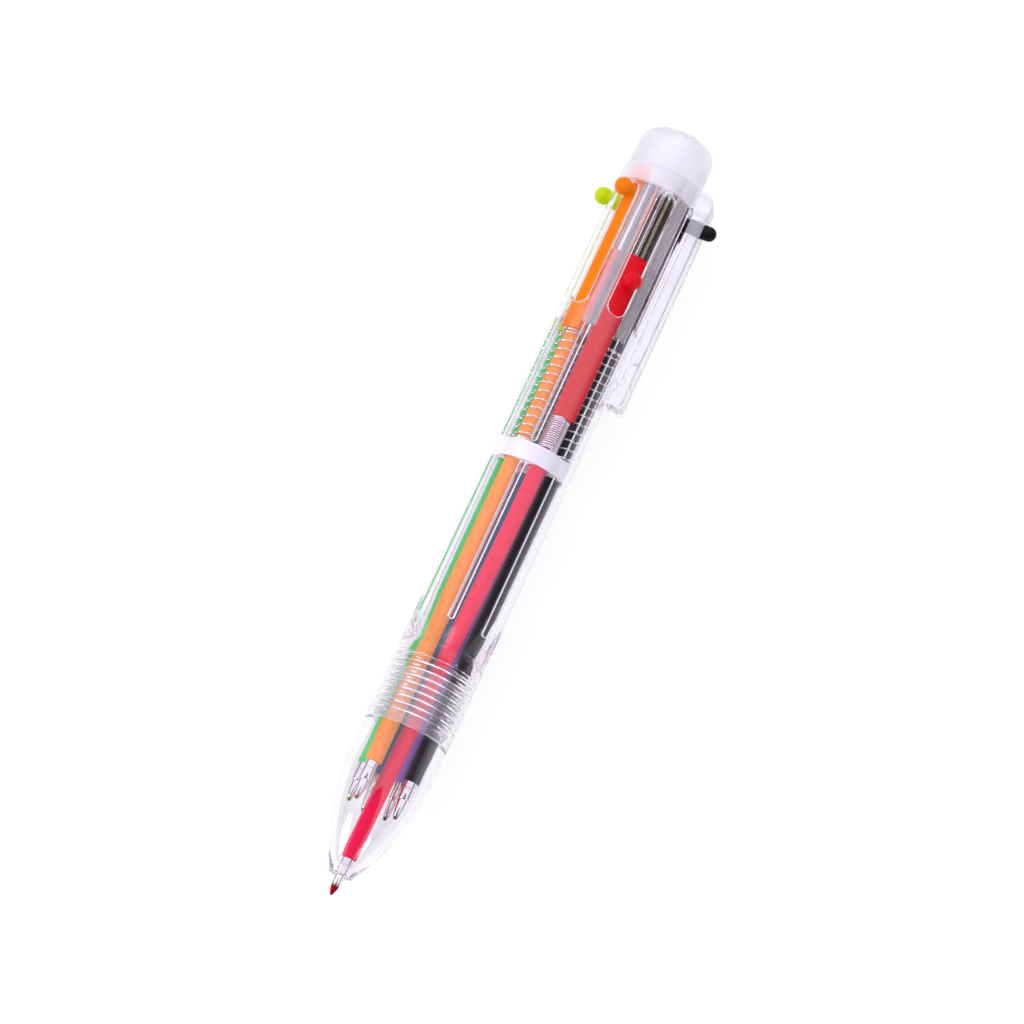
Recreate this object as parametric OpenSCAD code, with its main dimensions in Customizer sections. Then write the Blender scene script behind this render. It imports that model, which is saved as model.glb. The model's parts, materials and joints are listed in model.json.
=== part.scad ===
// Clear-bodied pen with six coloured refills, each pushed out by its own slider.
// The pen lies on its back: +X runs from the writing tip to the rear cap, +Z is up.
// Inside the modules, Z is the station along the pen. The extended tip ends at tip_end_z.
// The red refill is out and latched, and the other five are drawn back.

/* [Pen] */
// Length from the extended writing tip to the top of the rear cap
pen_length = 145; // [144.5:0.5:150]
// Diameter of the grip, the thickest round part
grip_d = 14.7; // [14.6:0.1:15.2]
// Diameter of the barrel around the sliders
upper_d = 14.2; // [14:0.1:14.5]
// How far each slider travels
travel = 15.5; // [14:0.1:15.6]

/* [Barrel] */
// Station of the seam between nose cone and barrel
seam_z = 28.6; // [28:0.1:29]
// Station of the barrel's top edge
barrel_top_z = 135.5; // [135.2:0.1:136]
// Width of each slider slot
slot_w = 3.4; // [3.3:0.1:3.6]
// Station of the slots' lower ends
slot_low_z = 107.4; // [106:0.1:108]
// Station of the slots' upper ends
slot_high_z = 131.3; // [131.2:0.1:131.5]

/* [Clip] */
// Radius of the clip's outer face, from the pen's axis
clip_out_r = 10.1; // [9.9:0.1:10.4]
// Gap between the barrel and the clip
clip_gap = 0.5; // [0.4:0.1:0.6]
// Width of the clip
clip_w = 5; // [4.8:0.1:5.6]
// Station of the clip's free end
clip_end_z = 93.6; // [90:0.2:96]

/* [Nose cone] */
// Radius of the curve that the nose cone's outline follows
nose_curve_r = 38; // [37:0.5:40]
// Diameter of the nozzle's mouth
nozzle_bore_d = 2.3; // [2.3:0.05:2.4]
// Pitch of the screw ridges between nose cone and barrel
thread_pitch = 1.25; // [1.2:0.05:1.3]

/* [Refills] */
// Radius of the circle that the six refills stand on
refill_circle_r = 4.15; // [4.1:0.05:4.15]
// Outer diameter of a refill tube
tube_d = 2.7; // [2.5:0.05:2.7]
// Inner diameter of a refill tube
tube_bore_d = 1.9; // [1.8:0.05:1.9]
// Length of the ink column in a new refill
ink_length = 68; // [40:1:68]
// Diameter of the writing ball
ball_d = 0.7; // [0.7:0.05:0.8]

/* [Springs] */
// Outer diameter of a return spring
spring_d = 3.5; // [3.4:0.05:3.5]
// Diameter of the spring wire
spring_wire = 0.32; // [0.28:0.02:0.34]

/* [Sliders] */
// Width of a slider
slider_w = 3.4; // [3.2:0.05:3.4]
// Diameter of the thumb knob
knob_d = 3.1; // [2.9:0.05:3.1]
// Radius of the thumb knob's centre, from the pen's axis
knob_r = 8.4; // [8.2:0.1:8.6]

/* [Hidden] */
// Refill colours in order round the pen, and where each stands: degrees from the top
// towards the clip.
inks = ["black", "red", "orange", "green", "blue", "purple"];
angles = [90, 30, -30, -90, -150, 150];
slider_colours = ["#1b1620", "#e8121f", "#ff8a00", "#d4e800", "#161a54", "#34122c"];
tube_colours = ["#3a333c", "#f0506e", "#f6a86a", "#86d79c", "#5590b8", "#8f70b8"];
out = 1; // the refill that is out: red
clear = [0.91, 0.90, 0.94, 0.35];

$fn = 64;
over = 1; // how far a cutting shape runs past what it cuts

// Barrel
grip_r = grip_d / 2;
upper_r = upper_d / 2;
grip_top_z = 48;
taper_top_z = 86;
edge = 0.15;
lower_bore_r = 5.95;
upper_bore_r = 6.1;
counterbore_r = 6.45;
counterbore_top_z = 43.5; // above it the bore tapers to the lower bore
bore_taper_top_z = 51;
rib_r = 0.6; // the ribs along the bore are parts of rods of this radius
rib_depth = 0.25; // from the bore's wall out to the rods' centres
rib_low_z = 48;

// Screw ridges: the barrel's point inwards, the nose cone's outwards, half a pitch apart
thread_low_z = seam_z + 1.2;
thread_turns = 8;
barrel_root_r = 6.6;
barrel_crest_r = 6.28;
neck_core_r = 6.12;
neck_crest_r = 6.45;
neck_bore_r = 5.65;
neck_top_z = thread_low_z + (thread_turns + 0.3) * thread_pitch;
barrel_thread_top_z = neck_top_z + 2;

// Clip
clip_root_z = slot_high_z + 0.2;

// Nose cone
nozzle_z = 3;
nozzle_r = 2.1;
nozzle_root_z = 5.2;
nose_wall = 1.3;
nose_curve_z = seam_z - 6;
nose_steps = 14;
shoulder_gap = 0.05;

// Spring collar
collar_low_z = 78;
collar_h = 3.4;
collar_r = upper_bore_r - 0.02;
collar_hole_r = tube_d / 2 + 0.2;
collar_high_z = collar_low_z + collar_h;

// Sliders, at the drawn-back place
knob_z = slot_high_z - knob_d / 2 - 0.35;
slider_low_z = knob_z - 26.2;
slider_high_z = knob_z + 5.3;
slider_out_r = 5.9;
stem_r = 1.3;
black_stem_end_r = 12.4;
peg_r = tube_bore_d / 2 - 0.02;
peg_h = 6;

// Slider guide
guide_r = upper_bore_r - 0.05;
guide_low_z = 104.6;
guide_high_z = slider_high_z + 0.2;
channel_gap = 0.2;

// Rear cap
cap_r = 6.7;
cap_straight = 5.2;
cap_wall = 1.2;
cap_power = 2.4;
cap_steps = 12;
spigot_r = 1.6;
spigot_h = 5;

// Refills, at the extended place
tube_low_z = 6;
tip_r = 1.05;
tip_end_z = -0.7; // the writing end of the refill that is out
tip_stem_h = 3;
ink_gap = 0.02;
plug_h = 3;
bend_length = 40;
bend_steps = 10;
bend_angle = asin(refill_circle_r / (collar_low_z - nozzle_z - 0.5)); // centred in the mouth

// Springs
spring_coils = 16;
closed_coils = 3.4; // at both ends together
coil_steps = 10;
wire_sides = 6;

// How the pen lies
knob_reach = knob_r * cos(30) + knob_d / 2;
side_shift = (black_stem_end_r - knob_r - knob_d / 2) / 2;

// From the pen's own axis to the row's frame
module lay() {
    translate([-pen_length / 2 - tip_end_z, side_shift, knob_reach]) rotate([0, 90, 0]) children();
}

// One of the six refill stations: +X here points away from the pen's axis
module station(i) {
    rotate([0, 0, 180 + angles[i]]) children();
}

// How far refill i stands back from its extended place
function drawn_back(i) = i == out ? 0 : travel;

// ---- Barrel and clip ----

module barrel_outside() {
    rotate_extrude()
        polygon([
            [0, seam_z], [grip_r - edge, seam_z], [grip_r, seam_z + edge],
            [grip_r, grip_top_z], [upper_r, taper_top_z],
            [upper_r, barrel_top_z - edge], [upper_r - edge, barrel_top_z], [0, barrel_top_z]
        ]);
}

// Triangular ridges that stand from root_r to crest_r, one for each turn
function ridges(root_r, crest_r, low_z, turns) = [
    for (i = [0 : turns - 1]) let (z = low_z + i * thread_pitch)
        each [
            [root_r, z + 0.1 * thread_pitch], [crest_r, z + 0.42 * thread_pitch],
            [crest_r, z + 0.58 * thread_pitch], [root_r, z + 0.9 * thread_pitch]
        ]
];

module barrel_inside() {
    rotate_extrude()
        polygon(concat(
            [[0, seam_z - over], [barrel_root_r, seam_z - over]],
            ridges(barrel_root_r, barrel_crest_r, thread_low_z + thread_pitch / 2,
                thread_turns + 1),
            [
                [barrel_root_r, barrel_thread_top_z], [counterbore_r, barrel_thread_top_z],
                [counterbore_r, counterbore_top_z], [lower_bore_r, bore_taper_top_z],
                [lower_bore_r, collar_low_z], [upper_bore_r, collar_low_z],
                [upper_bore_r, barrel_top_z + over], [0, barrel_top_z + over]
            ]
        ));
}

// A slot with round ends, cut outwards from the axis
module radial_slot(width, low_z, high_z, from_r, to_r) {
    end_r = width / 2;
    translate([from_r, -end_r, low_z + end_r])
        cube([to_r - from_r, width, high_z - low_z - width]);
    for (z = [low_z + end_r, high_z - end_r])
        translate([from_r, 0, z]) rotate([0, 90, 0]) cylinder(h = to_r - from_r, r = end_r);
}

// The clip's side view: radius across, station up
module clip_outline() {
    corner = 4;
    toe = 1.6;
    arm_in_r = upper_r + clip_gap;
    corner_z = barrel_top_z - 0.25 - corner;
    difference() {
        union() {
            translate([clip_out_r - corner, corner_z]) circle(r = corner);
            translate([arm_in_r, clip_end_z + toe])
                square([clip_out_r - arm_in_r, corner_z - clip_end_z - toe]);
            translate([arm_in_r, clip_end_z])
                square([clip_out_r - arm_in_r - toe, 2 * toe]);
            translate([clip_out_r - toe, clip_end_z + toe]) circle(r = toe);
            translate([arm_in_r - clip_gap + 0.1, clip_end_z + 0.6])
                square([clip_gap, 2.4]);
        }
        translate([0, clip_root_z - 4 * corner]) square([arm_in_r, 4 * corner]);
    }
}

module clip() {
    web = 1.05;
    groove_w = 2 * stem_r + 0.3;
    groove_low_z = clip_end_z + 4.5;
    window_low_z = 102;
    difference() {
        translate([0, clip_w / 2, 0]) rotate([90, 0, 0]) linear_extrude(clip_w) clip_outline();
        translate([0, -groove_w / 2, groove_low_z])
            cube([clip_out_r - web, groove_w, clip_root_z - groove_low_z]);
        radial_slot(groove_w, window_low_z, slot_high_z - 0.1, upper_r, clip_out_r + over);
    }
}

// Six ribs that stand a little into the bore, midway between the refills
module bore_ribs(bore_r, low_z, high_z) {
    for (i = [0 : 5]) rotate([0, 0, 60 * i])
        translate([bore_r + rib_depth, 0, low_z])
            cylinder(h = high_z - low_z, r = rib_r, $fn = 32);
}

module barrel() {
    gap = 0.1; // between the ribs and what stands in the bore
    color(clear) lay() union() {
        difference() {
            union() {
                barrel_outside();
                station(0) clip();
            }
            barrel_inside();
            for (i = [0 : 5]) station(i)
                radial_slot(slot_w, slot_low_z, slot_high_z, upper_bore_r - over,
                    upper_r + 0.3);
        }
        bore_ribs(lower_bore_r, rib_low_z, collar_low_z - gap);
        bore_ribs(upper_bore_r, collar_high_z + gap, guide_low_z - gap);
    }
}

// ---- Nose cone ----

// Radius of the outline at a station, drawn in by a wall thickness
function nose_r(z, wall) =
    grip_r - nose_curve_r + sqrt(pow(nose_curve_r - wall, 2) - pow(nose_curve_z - z, 2));

// Station where the outline, drawn in by a wall, comes down to a radius
function nose_station(r, wall) =
    nose_curve_z - sqrt(pow(nose_curve_r - wall, 2) - pow(r - grip_r + nose_curve_r, 2));

module nose_cone() {
    throat_z = nose_station(nozzle_bore_d / 2, nose_wall);
    color(clear) lay() rotate_extrude() difference() {
        polygon(concat(
            [[0, nozzle_z], [nozzle_r - edge, nozzle_z], [nozzle_r, nozzle_z + edge]],
            [for (i = [0 : nose_steps])
                let (z = nozzle_root_z + (nose_curve_z - nozzle_root_z) * i / nose_steps)
                [nose_r(z, 0), z]],
            [
                [grip_r, seam_z - shoulder_gap - edge], [grip_r - edge, seam_z - shoulder_gap],
                [neck_core_r, seam_z - shoulder_gap]
            ],
            ridges(neck_core_r, neck_crest_r, thread_low_z, thread_turns),
            [[neck_core_r, neck_top_z], [0, neck_top_z]]
        ));
        polygon(concat(
            [[-over, nozzle_z - over], [nozzle_bore_d / 2, nozzle_z - over]],
            [for (i = [0 : nose_steps])
                let (z = throat_z + (nose_curve_z - throat_z) * i / nose_steps)
                [nose_r(z, nose_wall), z]],
            [
                [neck_bore_r, seam_z - 1], [neck_bore_r, neck_top_z + over],
                [-over, neck_top_z + over]
            ]
        ));
    }
}

// ---- Collar, guide and cap ----

module spring_collar() {
    color([0.96, 0.95, 0.97]) lay() difference() {
        translate([0, 0, collar_low_z]) cylinder(h = collar_h, r = collar_r);
        for (i = [0 : 5]) station(i)
            translate([refill_circle_r, 0, collar_low_z - over])
                cylinder(h = collar_h + 2 * over, r = collar_hole_r);
        translate([0, 0, collar_low_z - over]) cylinder(h = collar_h + 2 * over, r = 1.2);
    }
}

// Section of a slider, or of the channel that it runs in
module slider_section(gap, out_r) {
    half = slider_w / 2 + gap;
    intersection() {
        union() {
            translate([refill_circle_r, 0]) circle(r = half);
            translate([refill_circle_r, -half]) square([out_r, 2 * half]);
        }
        circle(r = out_r);
    }
}

module slider_guide() {
    color(clear) lay() {
        difference() {
            translate([0, 0, guide_low_z]) cylinder(h = guide_high_z - guide_low_z, r = guide_r);
            for (i = [0 : 5]) station(i)
                translate([0, 0, guide_low_z - over])
                    linear_extrude(guide_high_z - guide_low_z + 2 * over)
                        slider_section(channel_gap, guide_r + over);
        }
        translate([0, 0, guide_high_z]) cylinder(h = barrel_top_z - guide_high_z, r = guide_r);
        translate([0, 0, barrel_top_z]) cylinder(h = spigot_h, r = spigot_r);
    }
}

// The cap's outline: a straight skirt, then a crown that follows a superellipse
function crown(r, h, low_z) = [
    for (i = [0 : cap_steps]) let (t = 90 * i / cap_steps)
        [r * pow(cos(t), 2 / cap_power), low_z + h * pow(sin(t), 2 / cap_power)]
];

module rear_cap() {
    crown_z = barrel_top_z + cap_straight;
    crown_h = pen_length + tip_end_z - crown_z;
    socket_r = spigot_r + 0.02;
    color([0.94, 0.94, 0.96]) lay() {
        rotate_extrude() difference() {
            polygon(concat([[0, barrel_top_z], [cap_r, barrel_top_z]],
                crown(cap_r, crown_h, crown_z)));
            polygon(concat([[0, barrel_top_z - over], [cap_r - cap_wall, barrel_top_z - over]],
                crown(cap_r - cap_wall, crown_h - cap_wall, crown_z)));
        }
        translate([0, 0, barrel_top_z]) difference() {
            cylinder(h = crown_z + crown_h - cap_wall / 2 - barrel_top_z, r = spigot_r + 1);
            translate([0, 0, -over]) cylinder(h = spigot_h + 0.5 + over, r = socket_r);
        }
    }
}

// ---- Sliders ----

// A bar in its channel, with a peg for the refill below and a thumb knob outside the slot
module slider(i) {
    long_stem = inks[i] == "black";
    end_r = long_stem ? stem_r : knob_d / 2;
    end_at = long_stem ? black_stem_end_r - stem_r : knob_r;
    color(slider_colours[i]) lay() station(i) translate([0, 0, drawn_back(i) - travel]) {
        difference() {
            translate([0, 0, slider_low_z])
                linear_extrude(slider_high_z - slider_low_z) slider_section(0, slider_out_r);
            // The cam at the top slopes inwards
            translate([refill_circle_r - slider_w, -slider_w, slider_high_z - 1.2])
                rotate([0, -45, 0]) translate([-slider_w, 0, 0])
                cube([slider_w, 2 * slider_w, 3 * slider_w]);
        }
        translate([refill_circle_r, 0, slider_low_z - peg_h]) cylinder(h = peg_h + 1, r = peg_r);
        translate([slider_out_r - 1, 0, knob_z]) rotate([0, 90, 0])
            cylinder(h = end_at - slider_out_r + 1, r = stem_r);
        translate([end_at, 0, knob_z]) sphere(r = end_r);
    }
}

// ---- Springs ----

// Height of the spring wire's middle after a number of turns: the end coils are closed
function coil_z(turn, length) =
    let (closed = closed_coils / 2 * spring_wire * 1.04)
    let (open = (length - spring_wire - 2 * closed) / (spring_coils - closed_coils))
    spring_wire / 2 + (
        turn < closed_coils / 2 ? turn * spring_wire * 1.04 :
        turn > spring_coils - closed_coils / 2
            ? length - spring_wire - (spring_coils - turn) * spring_wire * 1.04 :
        closed + (turn - closed_coils / 2) * open
    );

// Faces of a solid tube of rings with n points each
function tube_faces(rings, n) = concat(
    [[for (j = [n - 1 : -1 : 0]) j]],
    [for (i = [0 : rings - 2], j = [0 : n - 1])
        let (a = i * n + j, b = i * n + (j + 1) % n)
        each [[a, b, b + n], [a, b + n, a + n]]],
    [[for (j = [0 : n - 1]) (rings - 1) * n + j]]
);

module spring(i) {
    length = slider_low_z - collar_high_z - 0.04 - travel + drawn_back(i);
    middle_r = (spring_d - spring_wire) / 2;
    rings = spring_coils * coil_steps + 1;
    points = [
        for (s = [0 : rings - 1], j = [0 : wire_sides - 1])
            let (turn = s / coil_steps, a = 360 * turn, b = 360 * j / wire_sides)
            let (r = middle_r + spring_wire / 2 * cos(b))
            [r * cos(a), r * sin(a), coil_z(turn, length) + spring_wire / 2 * sin(b)]
    ];
    color([0.8, 0.8, 0.82]) lay() station(i)
        translate([refill_circle_r, 0, collar_high_z + 0.02])
        polyhedron(points, tube_faces(rings, wire_sides), convexity = 20);
}

// ---- Refills ----

// The refill that is out bends inwards below the collar, so that its tip meets the nozzle.
// How much of the turn a point has taken, s below the collar
function bent(s) =
    let (t = max(0, min(1, s / bend_length)))
    t * t * (3 - 2 * t);

// A point of a bent refill: x outwards from the refill's axis, s below the collar
function bend_point(x, y, s) =
    let (a = bent(s) * bend_angle)
    [x * cos(a) - s * sin(a), y, collar_low_z - s * cos(a) - x * sin(a)];

// Distances below the collar where a bent refill has a ring of points
function bend_rings(from_s, to_s) = concat(
    [from_s],
    [for (i = [0 : bend_steps]) let (s = bend_length * i / bend_steps)
        if (s > from_s + 0.5 && s < to_s - 0.5) s],
    [to_s]
);

// A solid round rod along the bent refill
module bent_rod(r, from_s, to_s, sides) {
    stops = bend_rings(from_s, to_s);
    polyhedron([for (s = stops, j = [0 : sides - 1]) let (b = 360 * j / sides)
        bend_point(r * cos(b), r * sin(b), s)], tube_faces(len(stops), sides), convexity = 4);
}

// Something that turns inwards as one piece with the end of the bent refill
module bent_end() {
    translate([0, 0, collar_low_z]) rotate([0, bend_angle, 0]) translate([0, 0, -collar_low_z])
        children();
}

// Places a refill's piece: its own axis is Z, with the extended place as its place
module refill_place(i) {
    lay() station(i) translate([refill_circle_r, 0, drawn_back(i)]) children();
}

// A rod or bore of a refill between two stations of its extended place
module refill_rod(i, r, low_z, high_z) {
    if (i == out) bent_rod(r, collar_low_z - high_z, collar_low_z - low_z, 24);
    else translate([0, 0, low_z]) cylinder(h = high_z - low_z, r = r);
}

tube_high_z = slider_low_z - travel - 0.02;
ink_low_z = tube_low_z + tip_stem_h + ink_gap;
ink_high_z = ink_low_z + ink_length;

module refill_tube(i) {
    color(tube_colours[i]) refill_place(i) difference() {
        refill_rod(i, tube_d / 2, tube_low_z, tube_high_z);
        refill_rod(i, tube_bore_d / 2, tube_low_z - over, tube_high_z + over);
    }
}

module ink(i) {
    color(slider_colours[i]) refill_place(i)
        refill_rod(i, tube_bore_d / 2 - ink_gap, ink_low_z, ink_high_z);
}

module ink_plug(i) {
    color([0.93, 0.9, 0.8, 0.8]) refill_place(i)
        refill_rod(i, tube_bore_d / 2 - ink_gap, ink_high_z + ink_gap, ink_high_z + plug_h);
}

// The metal point: a stem in the tube, a shoulder, a step and a cone that holds the ball
module point_shape() {
    step_z = 2.8;
    step_r = 0.88;
    mouth_z = tip_end_z + ball_d * 0.62;
    mouth_r = ball_d / 2 - 0.02;
    rotate_extrude() difference() {
        polygon([
            [0, mouth_z], [mouth_r, mouth_z], [mouth_r + 0.12, mouth_z + 0.4],
            [step_r - 0.04, step_z - 0.2], [step_r, step_z],
            [tip_r, step_z + 0.1], [tip_r, tube_low_z - 0.02],
            [tube_bore_d / 2 - ink_gap, tube_low_z - 0.02],
            [tube_bore_d / 2 - ink_gap, tube_low_z + tip_stem_h], [0, tube_low_z + tip_stem_h]
        ]);
        translate([0, tip_end_z + ball_d / 2]) circle(r = ball_d / 2 + 0.01, $fn = 32);
        translate([-over, tip_end_z])
            square([over + 0.12, tube_low_z + tip_stem_h - tip_end_z + over]);
    }
}

module tip(i) {
    color([0.85, 0.85, 0.86]) refill_place(i)
        if (i == out) bent_end() point_shape();
        else point_shape();
}

module ball_place() {
    translate([0, 0, tip_end_z + ball_d / 2]) sphere(d = ball_d, $fn = 24);
}

module ball(i) {
    color([0.6, 0.6, 0.62]) refill_place(i)
        if (i == out) bent_end() ball_place();
        else ball_place();
}

barrel();
nose_cone();
spring_collar();
slider_guide();
rear_cap();
for (i = [0 : 5]) {
    slider(i);
    spring(i);
    refill_tube(i);
    ink(i);
    ink_plug(i);
    tip(i);
    ball(i);
}
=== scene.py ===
"""The looks of a clear six-colour slide pen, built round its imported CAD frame.

The pen lies along X with its tip at -X. Lengths are in metres; MM turns millimetres into them.
Pieces are made in the pen's own frame, (x, u, v): x along the pen as in the row frame, u away
from the pen's axis and v round it. Pen.station() turns that frame to one of the six refills.
"""

import json
import math

import bmesh
import bpy
from mathutils import Matrix, Vector


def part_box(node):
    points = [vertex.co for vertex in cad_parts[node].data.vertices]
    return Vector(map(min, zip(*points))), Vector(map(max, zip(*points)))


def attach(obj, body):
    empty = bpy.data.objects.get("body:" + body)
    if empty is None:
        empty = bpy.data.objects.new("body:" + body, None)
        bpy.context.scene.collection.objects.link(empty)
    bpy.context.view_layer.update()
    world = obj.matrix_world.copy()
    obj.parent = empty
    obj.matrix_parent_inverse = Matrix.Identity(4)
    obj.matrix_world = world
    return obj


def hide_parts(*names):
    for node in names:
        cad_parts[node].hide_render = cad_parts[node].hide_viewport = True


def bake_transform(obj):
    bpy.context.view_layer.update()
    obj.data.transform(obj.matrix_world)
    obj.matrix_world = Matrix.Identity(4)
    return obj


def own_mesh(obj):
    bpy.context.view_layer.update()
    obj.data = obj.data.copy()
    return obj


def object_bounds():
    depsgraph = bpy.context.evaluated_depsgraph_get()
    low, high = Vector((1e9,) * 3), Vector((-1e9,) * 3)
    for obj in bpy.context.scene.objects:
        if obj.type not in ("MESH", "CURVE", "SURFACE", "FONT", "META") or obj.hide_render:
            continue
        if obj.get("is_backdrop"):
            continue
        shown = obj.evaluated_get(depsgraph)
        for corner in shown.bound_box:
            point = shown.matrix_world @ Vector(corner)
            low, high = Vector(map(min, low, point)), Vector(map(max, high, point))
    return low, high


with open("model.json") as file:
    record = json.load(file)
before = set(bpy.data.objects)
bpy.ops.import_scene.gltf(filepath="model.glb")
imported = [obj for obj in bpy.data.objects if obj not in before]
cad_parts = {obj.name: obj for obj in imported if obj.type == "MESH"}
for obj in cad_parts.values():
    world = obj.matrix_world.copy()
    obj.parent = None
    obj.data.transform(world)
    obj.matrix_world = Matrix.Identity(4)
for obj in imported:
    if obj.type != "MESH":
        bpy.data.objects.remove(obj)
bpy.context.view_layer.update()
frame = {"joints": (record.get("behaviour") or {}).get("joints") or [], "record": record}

MM = 0.001
INKS = ("black", "red", "orange", "green", "blue", "purple")
OUT = "red"  # the refill that is pushed out at rest
JOINTS = {joint["name"]: joint for joint in frame["joints"]}
COUPLINGS = {c["joint"]: c for c in frame["record"]["behaviour"]["couplings"]}


def arc(start, end, steps):
    """Numbers from start to end, both included."""
    return [start + (end - start) * i / steps for i in range(steps + 1)]


# ---- Where the frame puts things ----


class Pen:
    """Places and sizes read from the CAD frame."""

    nose_low, nose_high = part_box("nose_cone")
    axis_y = (nose_low.y + nose_high.y) / 2
    axis_z = (nose_low.z + nose_high.z) / 2
    grip_r = (nose_high.y - nose_low.y) / 2
    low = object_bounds()[0][0]
    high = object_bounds()[1][0]
    tip_reach = 0.7 * MM  # how far the writing ball stands past zero
    zero = low + tip_reach  # the place that lengths along the pen are counted from
    travel = JOINTS["slide_orange"]["range_m"][1]
    barrel_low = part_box("barrel")[0].x
    barrel_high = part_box("rear_cap")[0].x
    collar_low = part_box("spring_collar")[0].x
    collar_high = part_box("spring_collar")[1].x
    cap_r = (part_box("rear_cap")[1].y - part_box("rear_cap")[0].y) / 2
    guide_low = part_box("slider_guide")[0].x
    collar_r = (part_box("spring_collar")[1].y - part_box("spring_collar")[0].y) / 2
    clip_out = axis_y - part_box("barrel")[0].y
    refill_r = math.dist(JOINTS["bend_orange"]["pos_m"][1:], (axis_y, axis_z))
    bend = COUPLINGS["bend_orange"]["ratio"] * travel

    @staticmethod
    def angle(ink):
        """How far the refill stands from the top, towards the clip."""
        axis = JOINTS["bend_" + ink]["axis"]
        return math.atan2(-axis[2], -axis[1])

    @staticmethod
    def refill_axis(ink):
        """The matrix from (x, u, v) round a refill's own axis to the row frame."""
        return Pen.station(Pen.angle(ink)) @ Matrix.Translation((0, Pen.refill_r, 0))

    @staticmethod
    def station(turn=0.0):
        """The matrix from (x, u, v) at an angle from the top to the row frame."""
        s, c = math.sin(turn), math.cos(turn)
        return Matrix(
            ((1, 0, 0, 0), (0, -s, -c, Pen.axis_y), (0, c, -s, Pen.axis_z), (0, 0, 0, 1))
        )


# ---- Camera ----

VIEW_TILT = math.radians(17)  # the tip is nearer the camera than the cap
VIEW_TURN = math.radians(13)  # round the pen, away from straight above towards the clip
VIEW_ROLL = math.radians(24.95)  # the pen's lean in the picture
VIEW_DISTANCE = 0.70
VIEW_LENS = 148.2
VIEW_SENSOR = 36.0
AIM_ALONG = -0.99 * MM  # from the middle of the pen to what the camera looks at
AIM_ACROSS = 0.40 * MM


def make_camera():
    """Looks down at the pen so that its cap is at the upper right."""
    middle = Vector(((Pen.low + Pen.high) / 2, Pen.axis_y, Pen.axis_z))
    aside = Vector((0, -math.sin(VIEW_TURN), math.cos(VIEW_TURN)))
    back = aside * math.cos(VIEW_TILT) - Vector((1, 0, 0)) * math.sin(VIEW_TILT)
    along = (Vector((1, 0, 0)) + back * math.sin(VIEW_TILT)).normalized()
    across = along.cross(back).normalized()
    up = along * math.cos(VIEW_ROLL) - across * math.sin(VIEW_ROLL)
    right = along * math.sin(VIEW_ROLL) + across * math.cos(VIEW_ROLL)
    aim = middle + along * AIM_ALONG + across * AIM_ACROSS
    data = bpy.data.cameras.new("camera")
    data.lens = VIEW_LENS
    data.sensor_width = VIEW_SENSOR
    data.clip_start = 0.01
    camera = bpy.data.objects.new("camera", data)
    bpy.context.scene.collection.objects.link(camera)
    turn = Matrix((right, up, back)).transposed().to_4x4()
    camera.matrix_world = Matrix.Translation(aim + back * VIEW_DISTANCE) @ turn
    bpy.context.scene.camera = camera


make_camera()


# ---- Mesh tools ----


def make_object(name, verts, faces, matrix=None):
    """A mesh object with outward faces, in the row frame."""
    mesh = bpy.data.meshes.new(name)
    mesh.from_pydata([tuple(v) for v in verts], [], faces)
    if matrix is not None:
        mesh.transform(matrix)
    mesh.validate()
    edit = bmesh.new()
    edit.from_mesh(mesh)
    bmesh.ops.recalc_face_normals(edit, faces=edit.faces)
    edit.to_mesh(mesh)
    edit.free()
    piece = bpy.data.objects.new(name, mesh)
    bpy.context.scene.collection.objects.link(piece)
    return piece


def smooth(piece, limit=35):
    """Smooth shading, with edges sharper than limit degrees kept crisp."""
    edit = bmesh.new()
    edit.from_mesh(piece.data)
    for face in edit.faces:
        face.smooth = True
    for edge in edit.edges:
        edge.smooth = edge.calc_face_angle(0) < math.radians(limit)
    edit.to_mesh(piece.data)
    edit.free()
    return piece


def bake_modifiers(piece):
    """Replaces the piece's mesh by the one that its modifiers make."""
    bpy.context.view_layer.update()
    found = piece.evaluated_get(bpy.context.evaluated_depsgraph_get())
    mesh = bpy.data.meshes.new_from_object(found)
    piece.modifiers.clear()
    piece.data = mesh
    return piece


def combine(piece, others, operation="DIFFERENCE"):
    """Cuts the others out of the piece, or joins them to it, and removes them."""
    for other in others:
        modifier = piece.modifiers.new("combine", "BOOLEAN")
        modifier.operation = operation
        modifier.solver = "MANIFOLD"
        modifier.object = other
    bake_modifiers(piece)
    for other in others:
        mesh = other.data
        bpy.data.objects.remove(other)
        bpy.data.meshes.remove(mesh)
    return piece


def bevel(piece, width, segments=2, limit=40):
    modifier = piece.modifiers.new("bevel", "BEVEL")
    modifier.width = width
    modifier.segments = segments
    modifier.limit_method = "ANGLE"
    modifier.angle_limit = math.radians(limit)
    return bake_modifiers(piece)


def rounded(points, steps=4):
    """A closed outline of (x, y, radius) corners, with each corner turned into an arc."""
    outline = []
    count = len(points)
    for i, (x, y, radius) in enumerate(points):
        corner = Vector((x, y))
        before = Vector(points[i - 1][:2]) - corner
        after = Vector(points[(i + 1) % count][:2]) - corner
        if radius <= 0:
            outline.append((x, y))
            continue
        a, b = before.normalized(), after.normalized()
        half = a.angle(b) / 2
        reach = min(radius / math.tan(half), before.length * 0.49, after.length * 0.49)
        first, last = corner + a * reach, corner + b * reach
        for t in arc(0, 1, steps):
            # A rational quadratic curve with this weight is the arc itself
            weight = math.sin(half)
            top = first * (1 - t) ** 2 + corner * (2 * t * (1 - t) * weight) + last * t**2
            whole = (1 - t) ** 2 + 2 * t * (1 - t) * weight + t**2
            outline.append(tuple(top / whole))
    return outline


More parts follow.
